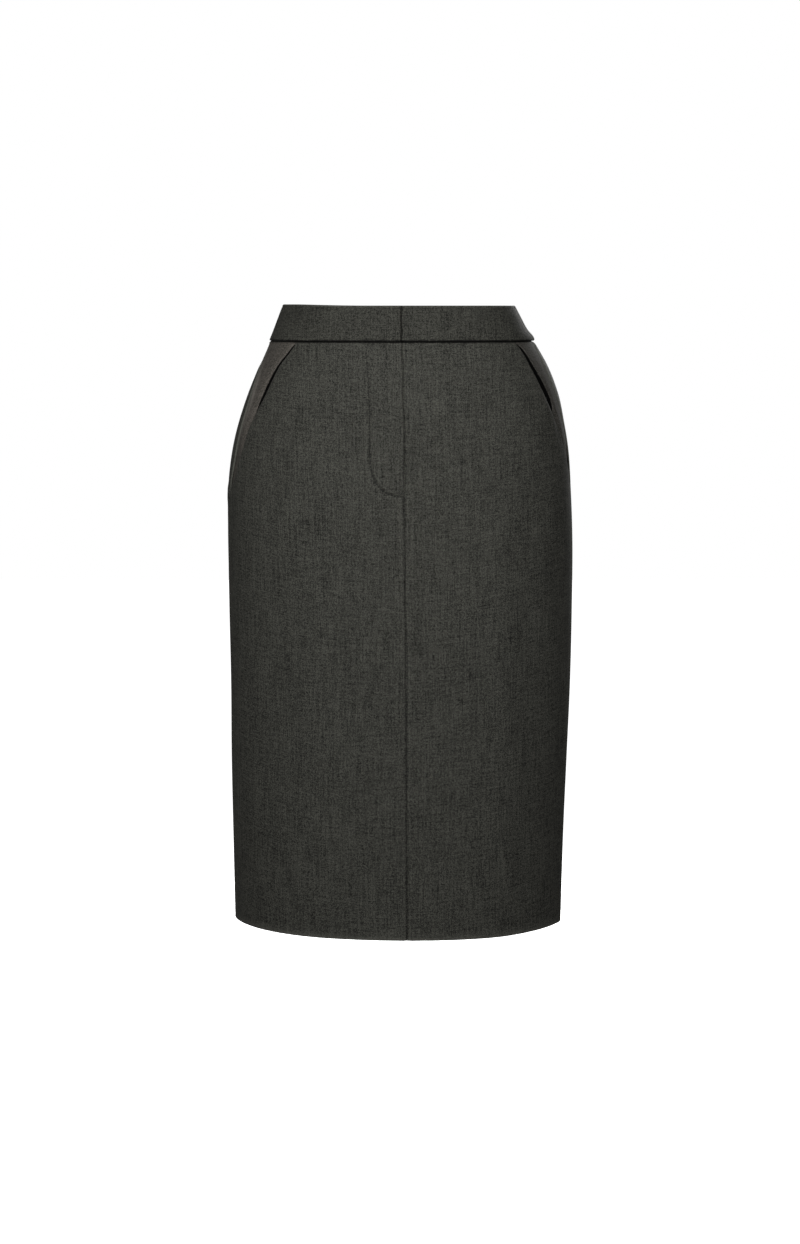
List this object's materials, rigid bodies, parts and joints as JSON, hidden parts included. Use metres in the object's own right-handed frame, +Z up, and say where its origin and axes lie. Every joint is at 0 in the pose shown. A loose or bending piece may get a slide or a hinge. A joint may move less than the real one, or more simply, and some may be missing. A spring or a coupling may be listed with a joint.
{
  "type": "pencil skirt",
  "caption": "Hollow knee-length pencil skirt with contoured waistband, lapped fly, gaping slant pockets and back vent, in its worn shape.",
  "frame": {"origin": "middle of the waist opening, level with the top edge of the waistband, where the wearer's waist holds the skirt", "axes": "+Z up, the front faces -Y, +X towards the wearer's left side"},
  "size_m": [0.363, 0.26, 0.65],
  "materials": {
    "wool": "dark olive-grey worsted wool twill, mottled two-tone yarn, dry matt face with a faint nap",
    "pocketing": "plain dark cotton pocketing, matt",
    "zip_tape": "dark woven zip tape with a nylon chain",
    "zip_metal": "satin nickel slider"
  },
  "bodies": {
    "root": {"front_right": "wool", "front_left": "wool", "back_right": "wool", "back_left": "wool", "pocket_facing_right": "wool", "pocket_facing_left": "wool", "pocket_bag_right": "pocketing", "pocket_bag_left": "pocketing", "waistband_right": "wool", "waistband_left": "wool", "waistband_back": "wool", "zip": "zip_tape", "zip_slider": "zip_metal"}
  },
  "joints": []
}
